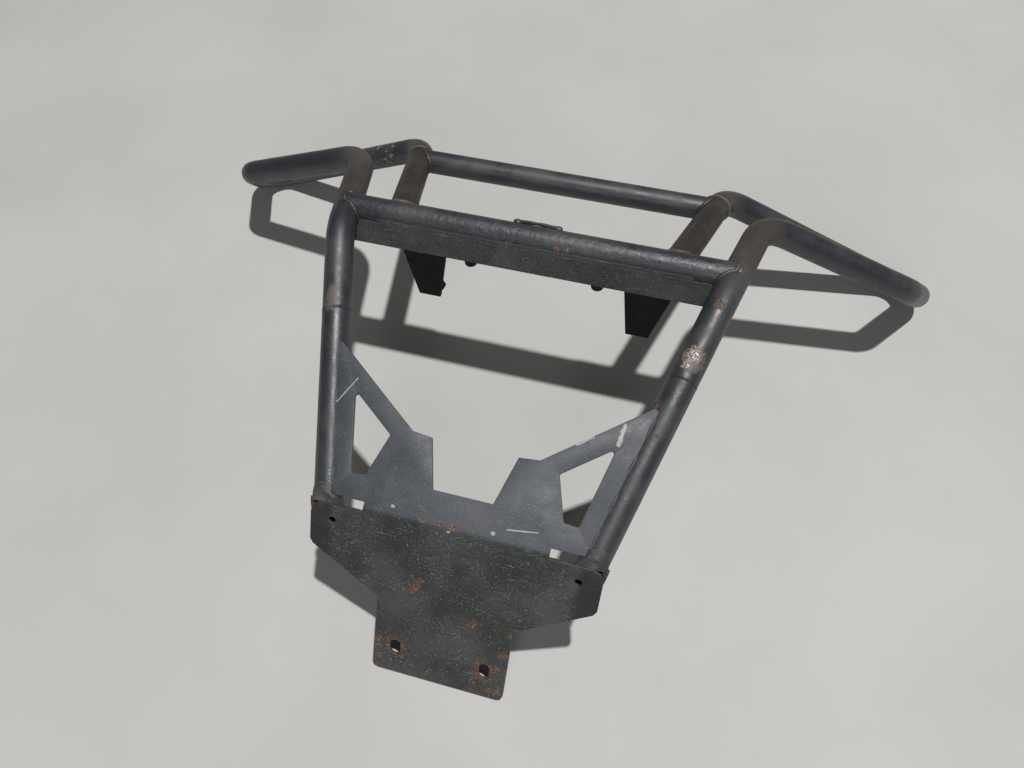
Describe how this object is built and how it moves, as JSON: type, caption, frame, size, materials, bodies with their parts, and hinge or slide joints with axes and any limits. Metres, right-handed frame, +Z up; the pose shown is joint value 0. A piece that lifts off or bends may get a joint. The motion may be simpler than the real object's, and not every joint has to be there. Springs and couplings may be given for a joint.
{
  "type": "front grille guard",
  "caption": "Welded tube guard for a truck's front end, with two swept wing loops, a folded base plate with a bolt-on tongue, and a crossbar",
  "frame": {"origin": "middle of the guard's footprint, on the surface it lies on", "axes": "the guard lies on its back as when set down on a floor: +X across the guard to its left-right side, +Y from the base plate to the rear bar, +Z up"},
  "size_m": [1.1968, 0.8121, 0.3009],
  "materials": {
    "tube_paint": "semi-gloss black paint over steel tube",
    "plate_paint": "dull chipped black paint over steel sheet",
    "painted_weld": "painted weld bead with a little rust",
    "matte_black": "matte black paint",
    "clear_film": "clear plastic film"
  },
  "bodies": {
    "root": {"upright_left": "tube_paint", "upright_right": "tube_paint", "hoop_left": "tube_paint", "hoop_right": "tube_paint", "leg_left": "tube_paint", "leg_right": "tube_paint", "crossbar": "tube_paint", "crossbar_flange": "plate_paint", "rear_bar": "tube_paint", "base_plate": "plate_paint", "bracket_left": "matte_black", "bracket_right": "matte_black", "bracket_nut": "matte_black", "stub_left": "matte_black", "stub_right": "matte_black", "crossbar_lug": "tube_paint", "tape_wrap": "clear_film", "weld_base": "painted_weld", "weld_ears": "painted_weld", "weld_splices": "painted_weld", "weld_crossbar": "painted_weld", "weld_flange": "painted_weld", "weld_seams": "painted_weld", "weld_rear_bar": "painted_weld", "weld_legs": "painted_weld", "weld_brackets": "painted_weld", "weld_stubs": "painted_weld", "weld_lug": "painted_weld"}
  },
  "joints": []
}
